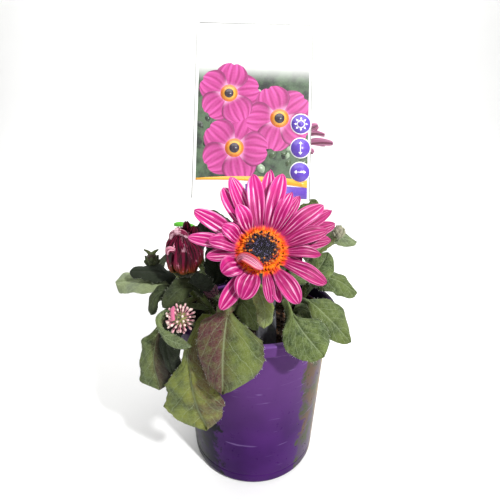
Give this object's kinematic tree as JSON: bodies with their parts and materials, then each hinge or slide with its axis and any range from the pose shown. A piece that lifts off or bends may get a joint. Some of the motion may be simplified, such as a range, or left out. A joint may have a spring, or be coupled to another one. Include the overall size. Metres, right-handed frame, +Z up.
{
  "type": "potted african daisy",
  "caption": "Flowering african daisy in a round gloss purple nursery pot, with magenta blooms, felty grey-green lobed leaves and a picture label on a black stake.",
  "frame": {"origin": "Centre of the pot's foot, on the plane that the pot stands on.", "axes": "+Z up out of the pot, -Y towards the front that shows the main bloom, +X to the right seen from the front."},
  "size_m": [0.1872, 0.1886, 0.3572],
  "materials": {
    "pot_plastic": "Glossy thin purple plastic with a soft mottled print on its sides",
    "soil": "Loose dark peaty compost with crumbs and bark bits",
    "label_plastic": "Smooth white printed plastic card",
    "stake_plastic": "Glossy black moulded plastic",
    "leaf": "Felty grey-green leaf with pale veins and purple tinges",
    "petal": "Satin magenta petal with pale lengthwise stripes",
    "disc_floret": "Velvety purple-black florets with orange anthers",
    "stalk": "Hairy pale green stalk",
    "spent_floret": "Dry pinkish floret tips, dark purple on the small head"
  },
  "bodies": {
    "root": {"pot": "pot_plastic", "soil": "soil", "label_card": "label_plastic", "label_stake": "stake_plastic", "leafy_stem_left": "leaf", "leafy_stem_front_left": "leaf", "leafy_stem_front": "leaf", "leafy_stem_front_right": "leaf", "leafy_stem_right": "leaf", "leafy_stem_back_right": "leaf", "leafy_stem_back": "leaf", "leafy_stem_back_left": "leaf", "front_bloom_petals": "petal", "front_bloom_disc": "disc_floret", "front_bloom_stalk": "stalk", "back_bloom_petals": "petal", "back_bloom_disc": "disc_floret", "back_bloom_stalk": "stalk", "closed_bloom_petals": "petal", "closed_bloom_stalk": "stalk", "spent_head_front": "spent_floret", "spent_head_front_stalk": "stalk", "spent_head_dark": "spent_floret", "spent_head_dark_stalk": "stalk"}
  },
  "joints": []
}
